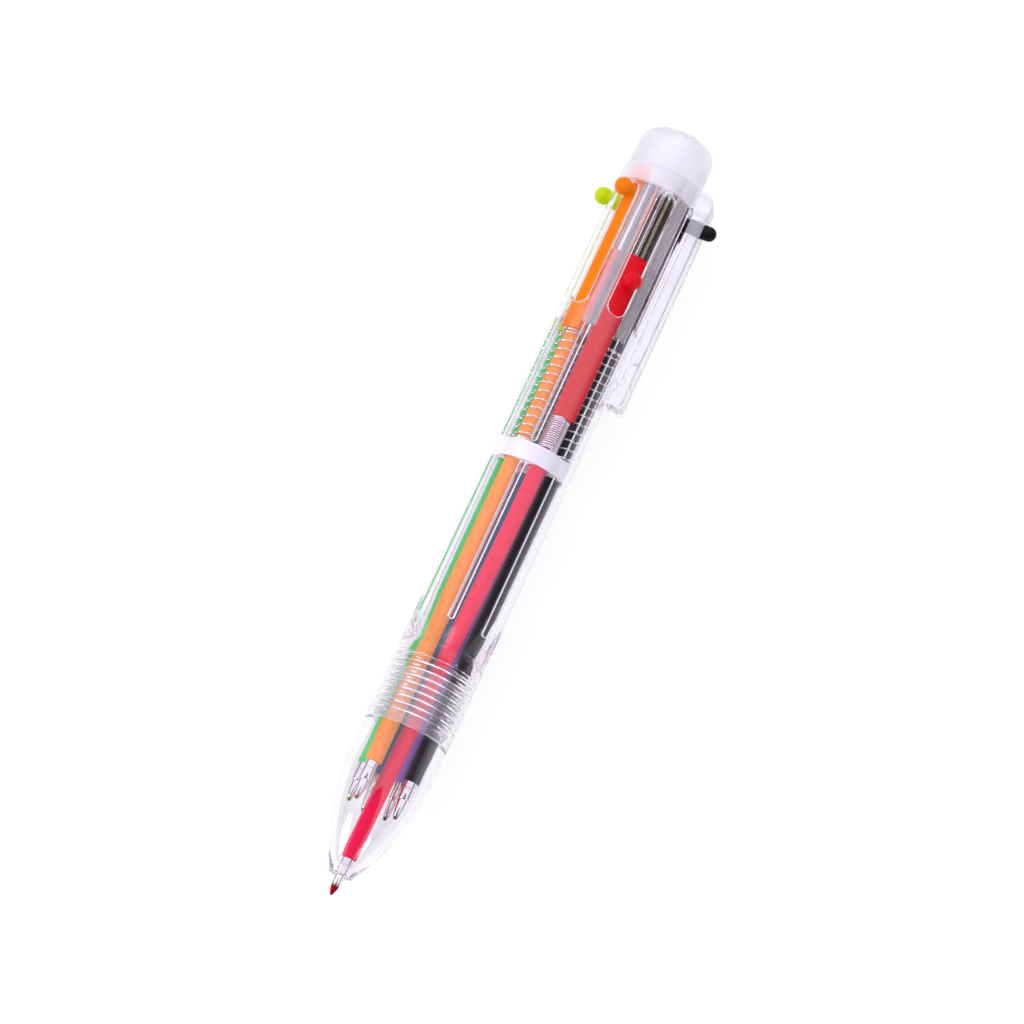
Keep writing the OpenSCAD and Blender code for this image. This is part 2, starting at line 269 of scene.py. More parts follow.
def revolved(profile, sides, radius=None):
    """Verts and faces of a closed (x, u) outline turned about the X axis.

    radius(x, u, share of a turn), where given, bends each point's distance from the axis.
    Outline points on the axis come first and last, and become poles.
    """
    poles = profile[0][1] < 1e-9
    body = profile[1:-1] if poles else profile
    count = len(body)
    verts = []
    for j in range(sides):
        share = j / sides
        c, s = math.cos(2 * math.pi * share), math.sin(2 * math.pi * share)
        for x, u in body:
            r = radius(x, u, share) if radius else u
            verts.append((x, r * c, r * s))
    faces = []
    for j in range(sides):
        a, b = j * count, (j + 1) % sides * count
        for i in range(count - 1 if poles else count):
            k = (i + 1) % count
            faces.append((a + i, a + k, b + k, b + i))
    if poles:
        first, last = len(verts), len(verts) + 1
        verts += [(profile[0][0], 0, 0), (profile[-1][0], 0, 0)]
        for j in range(sides):
            a, b = j * count, (j + 1) % sides * count
            faces.append((first, a, b))
            faces.append((last, b + count - 1, a + count - 1))
    return verts, faces


def rings_mesh(rings, closed_ends=True):
    """Verts and faces of rings with equal numbers of points, joined one after another."""
    count = len(rings[0])
    verts = [p for ring in rings for p in ring]
    faces = []
    for i in range(len(rings) - 1):
        for j in range(count):
            k = (j + 1) % count
            faces.append((i * count + j, i * count + k, (i + 1) * count + k, (i + 1) * count + j))
    if closed_ends:
        faces.append(tuple(range(count - 1, -1, -1)))
        last = (len(rings) - 1) * count
        faces.append(tuple(range(last, last + count)))
    return verts, faces


def extruded(outline, low, high):
    """Verts and faces of a closed (u, v) outline drawn along x."""
    return rings_mesh([[(x, u, v) for u, v in outline] for x in (low, high)])


def smoothstep(t):
    t = max(0.0, min(1.0, t))
    return t * t * (3 - 2 * t)


# ---- Materials ----


def new_material(name):
    """A node material with its shader and output."""
    material = bpy.data.materials.new(name)
    material.use_nodes = True
    tree = material.node_tree
    tree.nodes.clear()
    output = tree.nodes.new("ShaderNodeOutputMaterial")
    shader = tree.nodes.new("ShaderNodeBsdfPrincipled")
    tree.links.new(shader.outputs["BSDF"], output.inputs["Surface"])
    return material, tree, shader, output


def pattern(tree, scale, detail=2.0, stretch=(1, 1, 1)):
    """A noise pattern over the piece, with scale in features for each metre."""
    where = tree.nodes.new("ShaderNodeTexCoord")
    mapping = tree.nodes.new("ShaderNodeMapping")
    mapping.inputs["Scale"].default_value = stretch
    noise = tree.nodes.new("ShaderNodeTexNoise")
    noise.inputs["Scale"].default_value = scale
    noise.inputs["Detail"].default_value = detail
    tree.links.new(where.outputs["Object"], mapping.inputs["Vector"])
    tree.links.new(mapping.outputs["Vector"], noise.inputs["Vector"])
    return noise.outputs["Fac"]


def map_range(tree, value, start, end, to=(0.0, 1.0), kind="LINEAR"):
    """Maps start to end onto another range."""
    node = tree.nodes.new("ShaderNodeMapRange")
    node.interpolation_type = kind
    for name, number in zip(("From Min", "From Max", "To Min", "To Max"), (start, end, *to)):
        node.inputs[name].default_value = number
    tree.links.new(value, node.inputs["Value"])
    return node.outputs["Result"]


def spread(tree, value, low, high):
    """Maps the middle of a pattern's range onto low to high."""
    return map_range(tree, value, 0.3, 0.7, (low, high))


def bump(tree, shader, height, strength, distance):
    node = tree.nodes.new("ShaderNodeBump")
    node.inputs["Strength"].default_value = strength
    node.inputs["Distance"].default_value = distance
    tree.links.new(height, node.inputs["Height"])
    tree.links.new(node.outputs["Normal"], shader.inputs["Normal"])


def two_tone(tree, value, first, second):
    """A colour between two, by a pattern."""
    ramp = tree.nodes.new("ShaderNodeValToRGB")
    ramp.color_ramp.elements[0].position = 0.3
    ramp.color_ramp.elements[0].color = (*first, 1)
    ramp.color_ramp.elements[1].position = 0.7
    ramp.color_ramp.elements[1].color = (*second, 1)
    tree.links.new(value, ramp.inputs["Fac"])
    return ramp.outputs["Color"]


def mixed(tree, factor, first, second):
    """A colour between two, each given as a colour or as a socket."""
    mix = tree.nodes.new("ShaderNodeMix")
    mix.data_type = "RGBA"
    tree.links.new(factor, mix.inputs["Factor"])
    for name, value in (("A", first), ("B", second)):
        if isinstance(value, tuple):
            mix.inputs[name].default_value = (*value, 1)
        else:
            tree.links.new(value, mix.inputs[name])
    return mix.outputs["Result"]


def shade(colour, factor):
    return tuple(min(1.0, c * factor) for c in colour)


def band(tree, axis, low, high, soft=0.3 * MM):
    """A mask that is 1 between two places along an axis of the row frame, with soft edges.

    The axis "R" is the distance from the pen's axis.
    """
    where = tree.nodes.new("ShaderNodeTexCoord")
    if axis == "R":
        centred = tree.nodes.new("ShaderNodeMapping")
        centred.inputs["Location"].default_value = (0, -Pen.axis_y, -Pen.axis_z)
        centred.inputs["Scale"].default_value = (0, 1, 1)
        tree.links.new(where.outputs["Object"], centred.inputs["Vector"])
        length = tree.nodes.new("ShaderNodeVectorMath")
        length.operation = "LENGTH"
        tree.links.new(centred.outputs["Vector"], length.inputs[0])
        place = length.outputs["Value"]
    else:
        split = tree.nodes.new("ShaderNodeSeparateXYZ")
        tree.links.new(where.outputs["Object"], split.inputs["Vector"])
        place = split.outputs[axis]
    edges = [
        map_range(tree, place, start, end, kind="SMOOTHSTEP")
        for start, end in ((low, low + soft), (high, high - soft))
    ]
    return scaled(tree, "MULTIPLY", *edges)


def scaled(tree, operation, first, second, third=None):
    """Arithmetic on patterns; numbers are given as they are."""
    node = tree.nodes.new("ShaderNodeMath")
    node.operation = operation
    for socket, value in zip(node.inputs, (first, second, third)):
        if isinstance(value, (int, float)):
            socket.default_value = value
        elif value is not None:
            tree.links.new(value, socket)
    return node.outputs["Value"]


def clear_plastic(name, tint, roughness, clear=1.0, wave=0.02, haze=()):
    """Clear moulded plastic: faint flow waves, fine rubbed haze, and lamps shine through it.

    Each haze is (axis, low, high, clear, roughness): from low to high the plastic is only that
    clear and that much rougher.
    """
    material, tree, shader, output = new_material(name)
    shader.inputs["Base Color"].default_value = (*tint, 1)
    shader.inputs["Transmission Weight"].default_value = clear
    shader.inputs["IOR"].default_value = 1.5
    rubbed = spread(tree, pattern(tree, 900, 3.0, (0.3, 1, 1)), *roughness)
    weight = clear
    for axis, low, high, hazy_clear, hazy_roughness in haze:
        mask = band(tree, axis, low, high)
        weight = scaled(tree, "MULTIPLY_ADD", mask, hazy_clear - clear, weight)
        rubbed = scaled(tree, "MULTIPLY_ADD", mask, hazy_roughness, rubbed)
    if haze:
        tree.links.new(weight, shader.inputs["Transmission Weight"])
    tree.links.new(rubbed, shader.inputs["Roughness"])
    bump(tree, shader, pattern(tree, 120, 1.0, (0.4, 1, 1)), wave, 0.1 * MM)
    path = tree.nodes.new("ShaderNodeLightPath")
    through = tree.nodes.new("ShaderNodeBsdfTransparent")
    through.inputs["Color"].default_value = (*shade(tint, 0.99), 1)
    mix = tree.nodes.new("ShaderNodeMixShader")
    tree.links.new(path.outputs["Is Shadow Ray"], mix.inputs["Fac"])
    tree.links.new(shader.outputs["BSDF"], mix.inputs[1])
    tree.links.new(through.outputs["BSDF"], mix.inputs[2])
    tree.links.new(mix.outputs["Shader"], output.inputs["Surface"])
    return material


def moulded_plastic(name, colour, roughness=0.4):
    """Coloured plastic with flow marks and a soft, slightly uneven gloss."""
    material, tree, shader, _ = new_material(name)
    flow = pattern(tree, 260, 2.0, (0.25, 1, 1))
    tone = two_tone(tree, flow, shade(colour, 0.93), shade(colour, 1.05))
    tree.links.new(tone, shader.inputs["Base Color"])
    shader.inputs["Specular IOR Level"].default_value = 0.14
    shader.inputs["Subsurface Weight"].default_value = 0.12
    shader.inputs["Subsurface Radius"].default_value = (0.6 * MM, 0.5 * MM, 0.4 * MM)
    shader.inputs["Subsurface Scale"].default_value = 1.0
    grain = pattern(tree, 1500, 3.0)
    tree.links.new(spread(tree, grain, roughness - 0.05, roughness + 0.08), shader.inputs["Roughness"])
    bump(tree, shader, grain, 0.06, 0.05 * MM)
    return material


def refill_plastic(name, colour):
    """Thin translucent tube with the ink behind it: drawn lines along it and a soft gloss."""
    material, tree, shader, _ = new_material(name)
    lines = pattern(tree, 700, 3.0, (0.04, 1, 1))
    tone = two_tone(tree, lines, shade(colour, 0.88), shade(colour, 1.1))
    tree.links.new(tone, shader.inputs["Base Color"])
    shader.inputs["Subsurface Weight"].default_value = 0.25
    shader.inputs["Subsurface Radius"].default_value = (0.8 * MM, 0.6 * MM, 0.5 * MM)
    shader.inputs["Subsurface Scale"].default_value = 1.0
    shader.inputs["Specular IOR Level"].default_value = 0.12
    tree.links.new(spread(tree, lines, 0.3, 0.42), shader.inputs["Roughness"])
    bump(tree, shader, lines, 0.08, 0.04 * MM)
    return material


def ink_liquid(name, colour):
    """Thick wet ink or grease."""
    material, tree, shader, _ = new_material(name)
    flow = pattern(tree, 400, 2.0)
    tone = two_tone(tree, flow, shade(colour, 0.85), colour)
    tree.links.new(tone, shader.inputs["Base Color"])
    tree.links.new(spread(tree, flow, 0.08, 0.16), shader.inputs["Roughness"])
    bump(tree, shader, flow, 0.05, 0.1 * MM)
    return material


def bright_metal(name, colour, low_roughness, high_roughness, lathe, stain=None):
    """Drawn or turned metal: lathe is how strong the turning lines are.

    stain is (ink colour, low, high): the colour that ink leaves on the metal from low to high.
    """
    material, tree, shader, _ = new_material(name)
    shader.inputs["Metallic"].default_value = 1.0
    lines = pattern(tree, 2500, 2.0, (1, 0.05, 0.05))
    polish = two_tone(tree, pattern(tree, 500, 2.0), shade(colour, 0.94), colour)
    if stain:
        ink, low, high = stain
        polish = mixed(tree, band(tree, "X", low, high, soft=MM), polish, ink)
    tree.links.new(polish, shader.inputs["Base Color"])
    tree.links.new(spread(tree, lines, low_roughness, high_roughness), shader.inputs["Roughness"])
    bump(tree, shader, lines, lathe, 0.02 * MM)
    return material


def srgb(r, g, b):
    """Linear colour from 0 to 255 values as a screen shows them."""
    parts = [c / 255 for c in (r, g, b)]
    return tuple(c / 12.92 if c <= 0.04045 else ((c + 0.055) / 1.055) ** 2.4 for c in parts)


SLIDER_COLOURS = {
    "black": srgb(8, 6, 10),
    "red": srgb(225, 2, 28),
    "orange": srgb(255, 128, 0),
    "green": srgb(200, 220, 0),
    "blue": srgb(18, 22, 80),
    "purple": srgb(52, 18, 44),
}
TUBE_COLOURS = {
    "black": srgb(18, 11, 22),
    "red": srgb(244, 8, 72),
    "orange": srgb(255, 148, 52),
    "green": srgb(100, 208, 124),
    "blue": srgb(30, 130, 185),
    "purple": srgb(150, 88, 212),
}

CLEAR_TINT = (0.905, 0.893, 0.918)
FROSTED = clear_plastic("frosted_plastic", (0.90, 0.89, 0.91), (0.3, 0.4), 0.75, 0.01)
MILKY = moulded_plastic("milky_plastic", srgb(244, 242, 248), 0.35)
WIRE = bright_metal("spring_wire", (0.96, 0.96, 0.98), 0.12, 0.25, 0.1)
POINT_COLOUR = (0.90, 0.88, 0.86)
PLUG = ink_liquid("grease_plug", srgb(236, 228, 200))


def finish_piece(piece, material, nodes, body=None):
    """Gives the piece its material, hides the CAD parts that it stands in for, and lets it ride on a
    body where one is given.
    """
    piece.data.materials.clear()
    piece.data.materials.append(material)
    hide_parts(*nodes)
    if body:
        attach(piece, body)
    return piece


# ---- Barrel, with its clip ----

ROUND_SIDES = 144
WALL_TOP = 131.3 * MM + Pen.zero  # upper ends of the slots
SLOT_LOW = 107.4 * MM + Pen.zero
SLOT_W = 3.4 * MM
UPPER_R = 7.1 * MM
LOWER_BORE_R = 5.95 * MM
UPPER_BORE_R = 6.1 * MM
COUNTERBORE_R = 6.45 * MM
GRIP_TOP = 48 * MM + Pen.zero
TAPER_TOP = 86 * MM + Pen.zero
COUNTERBORE_TOP = 43.5 * MM + Pen.zero
BORE_TAPER_TOP = 51 * MM + Pen.zero
RIB_R = 0.6 * MM
RIB_DEPTH = 0.25 * MM
RIB_LOW = 47.8 * MM + Pen.zero
RIB_END = 0.9  # length of a rib's rounded end, in rib radii
THREAD_PITCH = 1.25 * MM
THREAD_LOW = Pen.barrel_low + 1.2 * MM
BARREL_THREAD_TURNS = 9.5
BARREL_ROOT_TURNS = 10.3  # the bore keeps the thread's root radius as far as this
NECK_TURNS = 8.3
BARREL_ROOT_R = 6.6 * MM
BARREL_CREST_R = 6.28 * MM
NECK_CORE_R = 6.12 * MM
NECK_CREST_R = 6.45 * MM


def ridge(turns):
    """Height of the screw thread, from 0 to 1, after a number of turns, flat at both ends."""
    wave = 0.5 - 0.5 * math.cos(2 * math.pi * turns)
    return max(0.0, min(1.0, 1.35 * wave - 0.15))


def thread_fade(x, low, high):
    """The thread runs in and out over one pitch at each end."""
    return smoothstep((x - low) / THREAD_PITCH) * smoothstep((high - x) / THREAD_PITCH)


def barrel_tube():
    """The round body: outside with soft edges, bore with the screw thread at its lower end."""
    thread_high = THREAD_LOW + BARREL_THREAD_TURNS * THREAD_PITCH
    root_end = THREAD_LOW + BARREL_ROOT_TURNS * THREAD_PITCH
    low, high = Pen.barrel_low, Pen.barrel_high
    outside = rounded(
        [
            (low, Pen.grip_r - 0.8 * MM, 0),
            (low, Pen.grip_r, 0.18 * MM),
            (GRIP_TOP, Pen.grip_r, 4 * MM),
            (TAPER_TOP, UPPER_R, 4 * MM),
            (high, UPPER_R, 0.25 * MM),
            (high, UPPER_BORE_R, 0.12 * MM),
            (Pen.collar_low, UPPER_BORE_R, 0),
            (Pen.collar_low, LOWER_BORE_R, 0.08 * MM),
            (BORE_TAPER_TOP, LOWER_BORE_R, 2 * MM),
            (COUNTERBORE_TOP, COUNTERBORE_R, 0.5 * MM),
            (root_end + 1.2 * MM, COUNTERBORE_R, 0.3 * MM),
            (root_end, BARREL_ROOT_R, 0.3 * MM),
        ]
    )
    steps = int((root_end - low) / (THREAD_PITCH / 10))
    threaded = [(x, BARREL_ROOT_R) for x in arc(root_end, low, steps)][1:]

    def radius(x, u, share):
        if u < BARREL_ROOT_R - 1e-7 or u > BARREL_ROOT_R + 1e-7:
            return u
        depth = (BARREL_ROOT_R - BARREL_CREST_R) * thread_fade(x, THREAD_LOW, thread_high)
        return u - depth * ridge((x - THREAD_LOW) / THREAD_PITCH - share + 0.5)

    return make_object(
        "barrel", *revolved(outside + threaded, ROUND_SIDES, radius), Pen.station()
    )


def slot_cutter(turn):
    """A slot with round ends and softened edges, which follows the barrel's curve."""
    half = SLOT_W / 2
    soft = 0.14 * MM
    layers = [
        (UPPER_BORE_R - 0.8 * MM, soft * 3),
        (UPPER_BORE_R - 0.02 * MM, soft),
        (UPPER_BORE_R + soft * 0.4, soft * 0.3),
        (UPPER_BORE_R + soft, 0),
        (UPPER_R - soft, 0),
        (UPPER_R - soft * 0.4, soft * 0.3),
        (UPPER_R + 0.02 * MM, soft),
        (UPPER_R + 0.4 * MM, soft * 3),
    ]
    around = 48
    rings = []
    for r, grow in layers:
        h = half + grow
        ring = []
        for i in range(around):
            a = 2 * math.pi * (i + 0.5) / around
            middle = WALL_TOP - half if math.cos(a) > 0 else SLOT_LOW + half
            v = h * math.sin(a)
            ring.append((middle + h * math.cos(a), math.sqrt(r * r - v * v), v))
        rings.append(ring)
    verts, faces = rings_mesh(rings, closed_ends=False)
    for first, flip in ((0, True), ((len(rings) - 1) * around, False)):
        for i in range(around // 2):
            quad = [first + k % around for k in (i, i + 1, around - i - 2, around - i - 1)]
            quad = list(dict.fromkeys(quad))
            if len(quad) > 2:
                faces.append(tuple(reversed(quad)) if flip else tuple(quad))
    return make_object("slot_cutter", verts, faces, Pen.station(turn))


CLIP_W = 5 * MM
CLIP_GAP = 0.5 * MM
CLIP_WEB = 1.05 * MM
CLIP_END = 93.6 * MM + Pen.zero
CLIP_WINDOW_LOW = 102 * MM + Pen.zero
STEM_R = 1.3 * MM
GROOVE_W = 2 * STEM_R + 0.3 * MM


def side_view(name, outline, width, turn):
    """A solid with an (x, u) outline and a width across the pen."""
    rings = [[(x, u, v) for x, u in outline] for v in (-width / 2, width / 2)]
    return make_object(name, *rings_mesh(rings), Pen.station(turn))


def clip(turn):
    """The arm with its groove, its window for the long stem, and its foot."""
    arm_in = UPPER_R + CLIP_GAP
    root = WALL_TOP + 0.2 * MM
    top = Pen.barrel_high - 0.25 * MM
    outline = rounded(
        [
            (CLIP_END, arm_in + 0.1 * MM, 0.5 * MM),
            (CLIP_END, Pen.clip_out, 1.5 * MM),
            (top, Pen.clip_out, 4 * MM),
            (top, UPPER_R - 0.5 * MM, 0),
            (root, UPPER_R - 0.5 * MM, 0),
            (root, arm_in, 0.35 * MM),
            (CLIP_END + 4.2 * MM, arm_in, 0.8 * MM),
            (CLIP_END + 3.2 * MM, arm_in - 0.4 * MM, 0.6 * MM),
            (CLIP_END + 0.9 * MM, arm_in - 0.4 * MM, 0.6 * MM),
        ],
        steps=8,
    )
    piece = side_view("clip", outline, CLIP_W, turn)
    bevel(piece, 0.28 * MM, segments=3, limit=60)
    groove = side_view(
        "groove",
        rounded(
            [
                (CLIP_END + 4.6 * MM, UPPER_R - 0.3 * MM, 0),
                (CLIP_END + 4.6 * MM, Pen.clip_out - CLIP_WEB, 0.7 * MM),
                (root, Pen.clip_out - CLIP_WEB, 0.4 * MM),
                (root, UPPER_R - 0.3 * MM, 0),
            ]
        ),
        GROOVE_W,
        turn,
    )
    half = GROOVE_W / 2
    window_outline = [
        (
            (WALL_TOP - 0.1 * MM - half if math.cos(a) > 0 else CLIP_WINDOW_LOW + half)
            + half * math.cos(a),
            half * math.sin(a),
        )
        for a in arc(math.pi / 32, 2 * math.pi + math.pi / 32, 32)[:-1]
    ]
    heights = (Pen.clip_out - 2 * CLIP_WEB, Pen.clip_out + MM)
    window = make_object(
        "window",
        *rings_mesh([[(x, u, v) for x, v in window_outline] for u in heights]),
        Pen.station(turn),
    )
    return combine(piece, [groove, window])


def bore_ribs(bore_r, low, high):
    """Six thin ribs along the bore, midway between the refills, with rounded lower ends."""
    ribs = []
    out = bore_r + RIB_DEPTH
    for i in range(6):
        turn = Pen.station(math.pi / 3 * i) @ Matrix.Translation((0, out, 0))
        profile = [
            (low + RIB_R * RIB_END * (1 - math.cos(a)), RIB_R * math.sin(a))
            for a in arc(0, math.pi / 2, 6)
        ]
        profile += [(high, RIB_R), (high, 0.0)]
        ribs.append(make_object("rib", *revolved(profile, 32), turn))
    return ribs


def make_barrel():
    gap = 0.1 * MM
    barrel = barrel_tube()
    ribs = bore_ribs(LOWER_BORE_R, RIB_LOW, Pen.collar_low - gap)
    ribs += bore_ribs(UPPER_BORE_R, Pen.collar_high + gap, Pen.guide_low - gap)
    combine(barrel, ribs, "UNION")
    combine(barrel, [slot_cutter(Pen.angle(ink)) for ink in INKS])
    combine(barrel, [clip(Pen.angle("black"))], "UNION")
    smooth(barrel, 32)
    haze = [
        ("X", WALL_TOP + 0.25 * MM, Pen.high, 0.6, 0.28),
        ("Y", Pen.axis_y - Pen.clip_out - MM, Pen.axis_y - UPPER_R - 0.25 * MM, 0.85, 0.1),
    ]
    plastic = clear_plastic("barrel_plastic", CLEAR_TINT, (0.0, 0.02), haze=haze)
    finish_piece(barrel, plastic, ["barrel"], "pen_body")


make_barrel()


# ---- Nose cone ----

NOSE_CURVE_R = 38 * MM
NOSE_WALL = 1.3 * MM
NOSE_CURVE_X = Pen.barrel_low - 6 * MM
NOZZLE_R = 2.1 * MM
NOZZLE_ROOT = 2.2 * MM  # from the mouth to where the curve starts
MOUTH_R = 1.15 * MM
NECK_BORE_R = 5.65 * MM


def nose_radius(x, wall):
    """The cone's outline at x, drawn in by a wall."""
    drop = math.sqrt((NOSE_CURVE_R - wall) ** 2 - (NOSE_CURVE_X - x) ** 2)
    return Pen.grip_r - NOSE_CURVE_R + drop


def nose_place(r, wall):
    """Where the outline, drawn in by a wall, comes down to a radius."""
    rise = r - Pen.grip_r + NOSE_CURVE_R
    return NOSE_CURVE_X - math.sqrt((NOSE_CURVE_R - wall) ** 2 - rise**2)


def make_nose():
    mouth = Pen.nose_low.x
    root = mouth + NOZZLE_ROOT
    throat = nose_place(MOUTH_R, NOSE_WALL)
    shoulder = Pen.barrel_low - 0.05 * MM
    neck_top = THREAD_LOW + NECK_TURNS * THREAD_PITCH
    curve_out = [(x, nose_radius(x, 0)) for x in arc(root, NOSE_CURVE_X, 40)]
    steps = int((neck_top - shoulder) / (THREAD_PITCH / 10))
    neck = [(x, NECK_CORE_R) for x in arc(shoulder, neck_top - 0.15 * MM, steps)]
    curve_in = [(x, nose_radius(x, NOSE_WALL)) for x in arc(NOSE_CURVE_X, throat, 40)]
    profile = (
        [
            (mouth + 0.1 * MM, MOUTH_R),
            (mouth + 0.02 * MM, MOUTH_R + 0.1 * MM),
            (mouth, MOUTH_R + 0.25 * MM),
            (mouth, NOZZLE_R - 0.3 * MM),
            (mouth + 0.03 * MM, NOZZLE_R - 0.15 * MM),
            (mouth + 0.12 * MM, NOZZLE_R - 0.04 * MM),
            (mouth + 0.3 * MM, NOZZLE_R),
            (root - 0.5 * MM, nose_radius(root, 0) - 0.32 * MM),
        ]
        + curve_out
        + [
            (shoulder - 0.15 * MM, Pen.grip_r),
            (shoulder - 0.04 * MM, Pen.grip_r - 0.04 * MM),
            (shoulder, Pen.grip_r - 0.15 * MM),
        ]
        + neck
        + [
            (neck_top - 0.04 * MM, NECK_CORE_R - 0.04 * MM),
            (neck_top, NECK_CORE_R - 0.15 * MM),
            (neck_top, NECK_BORE_R + 0.12 * MM),
            (neck_top - 0.12 * MM, NECK_BORE_R),
            (shoulder - MM, NECK_BORE_R),
        ]
        + curve_in
    )

    def radius(x, u, share):
        if abs(u - NECK_CORE_R) > 1e-7:
            return u
        height = (NECK_CREST_R - NECK_CORE_R) * thread_fade(x, THREAD_LOW, neck_top)
        return u + height * ridge((x - THREAD_LOW) / THREAD_PITCH - share)

    nose = make_object("nose_cone", *revolved(profile, ROUND_SIDES, radius), Pen.station())
    smooth(nose, 40)
    haze = [
        ("X", shoulder - 0.3 * MM, neck_top - 1.6 * MM, 0.92, 0.03),
        ("X", Pen.low, root, 0.9, 0.05),
    ]
    plastic = clear_plastic("nose_plastic", CLEAR_TINT, (0.0, 0.02), haze=haze)
    finish_piece(nose, plastic, ["nose_cone"], "pen_body")


make_nose()


# ---- Rear cap, guide and collar ----

CAP_STRAIGHT = 5.2 * MM
CAP_WALL = 1.2 * MM
CROWN_POWER = 2.4
SPIGOT_R = 1.6 * MM
SPIGOT_H = 5 * MM


def crown(r, low, high, steps=24):
    """Points up a crown that follows a superellipse, from its rim to its top."""
    points = []
    for t in arc(0, math.pi / 2, steps):
        across = r * abs(math.cos(t)) ** (2 / CROWN_POWER)
        points.append((low + (high - low) * math.sin(t) ** (2 / CROWN_POWER), across))
    return points


def make_cap():
    low, high = Pen.barrel_high, Pen.high
    crown_low = low + CAP_STRAIGHT
    outside = crown(Pen.cap_r, crown_low, high)
    outside[-1] = (high, 0.0)
    inside = crown(Pen.cap_r - CAP_WALL, crown_low, high - CAP_WALL)
    boss_r = SPIGOT_R + MM
    inside = [p for p in inside if p[1] > boss_r + 0.3 * MM]
    rim = 0.12 * MM
    socket_top = low + SPIGOT_H + 0.5 * MM
    profile = (
        [(socket_top, 0.0), (socket_top, SPIGOT_R), (low + rim, SPIGOT_R + 0.02 * MM)]
        + [(low, SPIGOT_R + 0.02 * MM + rim), (low, boss_r - rim), (low + rim, boss_r)]
        + [(inside[-1][0] - 0.3 * MM, boss_r), (inside[-1][0], boss_r + 0.3 * MM)]
        + list(reversed(inside))
        + [(low + rim, Pen.cap_r - CAP_WALL), (low, Pen.cap_r - CAP_WALL + rim)]
        + [(low, Pen.cap_r - 2 * rim), (low + rim / 2, Pen.cap_r - rim / 2)]
        + [(low + 2 * rim, Pen.cap_r)]
        + outside
    )
    cap = make_object("rear_cap", *revolved(profile, ROUND_SIDES), Pen.station())
    smooth(cap, 40)
    finish_piece(cap, FROSTED, ["rear_cap"], "pen_body")


make_cap()

SLIDER_W = 3.4 * MM
CHANNEL_GAP = 0.2 * MM


def u_section(half, out_r, steps=16):
    """The (u, v) outline of a slider's bar: round inside and arched outside."""
    edge = math.asin(half / out_r)
    inner = [
        (Pen.refill_r - half * math.sin(a), half * math.cos(a)) for a in arc(0, math.pi, steps)
    ]
    outer = [(out_r * math.cos(a), out_r * math.sin(a)) for a in arc(-edge, edge, 8)]
    return inner + outer


def make_guide():
    """A clear column with a channel for each slider, a top flange and a spigot."""
    flange_low = Pen.barrel_high - 0.6 * MM
    guide_r = UPPER_BORE_R - 0.05 * MM
    half = SLIDER_W / 2 + CHANNEL_GAP
    edge = math.asin(half / guide_r)
    outline = []
    for i in range(6):
        turn = math.pi / 3 * i + math.pi / 6
        c, s = math.cos(turn), math.sin(turn)
        channel = [
            (Pen.refill_r - half * math.sin(a), half * math.cos(a))
            for a in arc(math.pi, 0, 16)
        ]
        wall = [
            (guide_r * math.cos(a), guide_r * math.sin(a))
            for a in arc(edge, math.pi / 3 - edge, 6)
        ]
        outline += [(u * c - v * s, u * s + v * c) for u, v in channel + wall]
    guide = make_object(
        "slider_guide", *extruded(outline, Pen.guide_low, flange_low + 0.1 * MM), Pen.station()
    )
    top = Pen.barrel_high + SPIGOT_H
    soft = 0.15 * MM
    profile = [
        (flange_low, 0.0),
        (flange_low, guide_r - soft),
        (flange_low + soft, guide_r),
        (Pen.barrel_high - soft, guide_r),
        (Pen.barrel_high - 0.01 * MM, guide_r - soft),
        (Pen.barrel_high - 0.01 * MM, SPIGOT_R),
        (top - 3 * soft, SPIGOT_R),
        (top, SPIGOT_R - soft),
        (top, 0.0),
    ]
    flange = make_object("flange", *revolved(profile, 96), Pen.station())
    combine(guide, [flange], "UNION")
    smooth(guide, 32)
    rubbed = [("R", guide_r - 0.35 * MM, Pen.clip_out, 0.78, 0.05)]
    plastic = clear_plastic("guide_plastic", (0.98, 0.97, 0.98), (0.0, 0.03), haze=rubbed)
    finish_piece(guide, plastic, ["slider_guide"], "pen_body")


make_guide()


REFILL_HOLE_R = 1.55 * MM
MIDDLE_HOLE_R = 1.2 * MM


def make_collar():
    """The milky disc that the springs stand on, with a hole for each refill."""
    low, high, r = Pen.collar_low, Pen.collar_high, Pen.collar_r
    soft = 0.2 * MM
    profile = [
        (low, 0.0),
        (low, r - soft),
        (low + soft * 0.3, r - soft * 0.3),
        (low + soft, r),
        (high - soft, r),
        (high - soft * 0.3, r - soft * 0.3),
        (high, r - soft),
        (high, 0.0),
    ]
    collar = make_object("spring_collar", *revolved(profile, ROUND_SIDES), Pen.station())
    cutters = []
    for ink in [*INKS, None]:
        r = REFILL_HOLE_R if ink else MIDDLE_HOLE_R
        hole = [(low - MM, 0.0), (low - MM, r + MM), (low - 0.01 * MM, r + soft), (low + soft, r)]
        hole += [(high - soft, r), (high + 0.01 * MM, r + soft), (high + MM, r + MM), (high + MM, 0.0)]
        place = Pen.refill_axis(ink) if ink else Pen.station()
        cutters.append(make_object("hole", *revolved(hole, 48), place))
    combine(collar, cutters)
    smooth(collar, 32)
    finish_piece(collar, MILKY, ["spring_collar"], "pen_body")


make_collar()


# ---- Sliders ----

SLIDER_OUT_R = 5.9 * MM
KNOB_R = 1.55 * MM
KNOB_AT = 8.4 * MM
KNOB_FROM_END = 5.3 * MM
STEM_FOOT = 0.25 * MM
CAM_LENGTH = 2.2 * MM  # the bar's upper end slopes on its inner side
CAM_DEPTH = 0.3 * MM
CAM_SLOPE = 0.9
PEG_R = 0.93 * MM
PEG_H = 6 * MM
NECK_R = 1.15 * MM
NECK_FOOT_R = 1.62 * MM


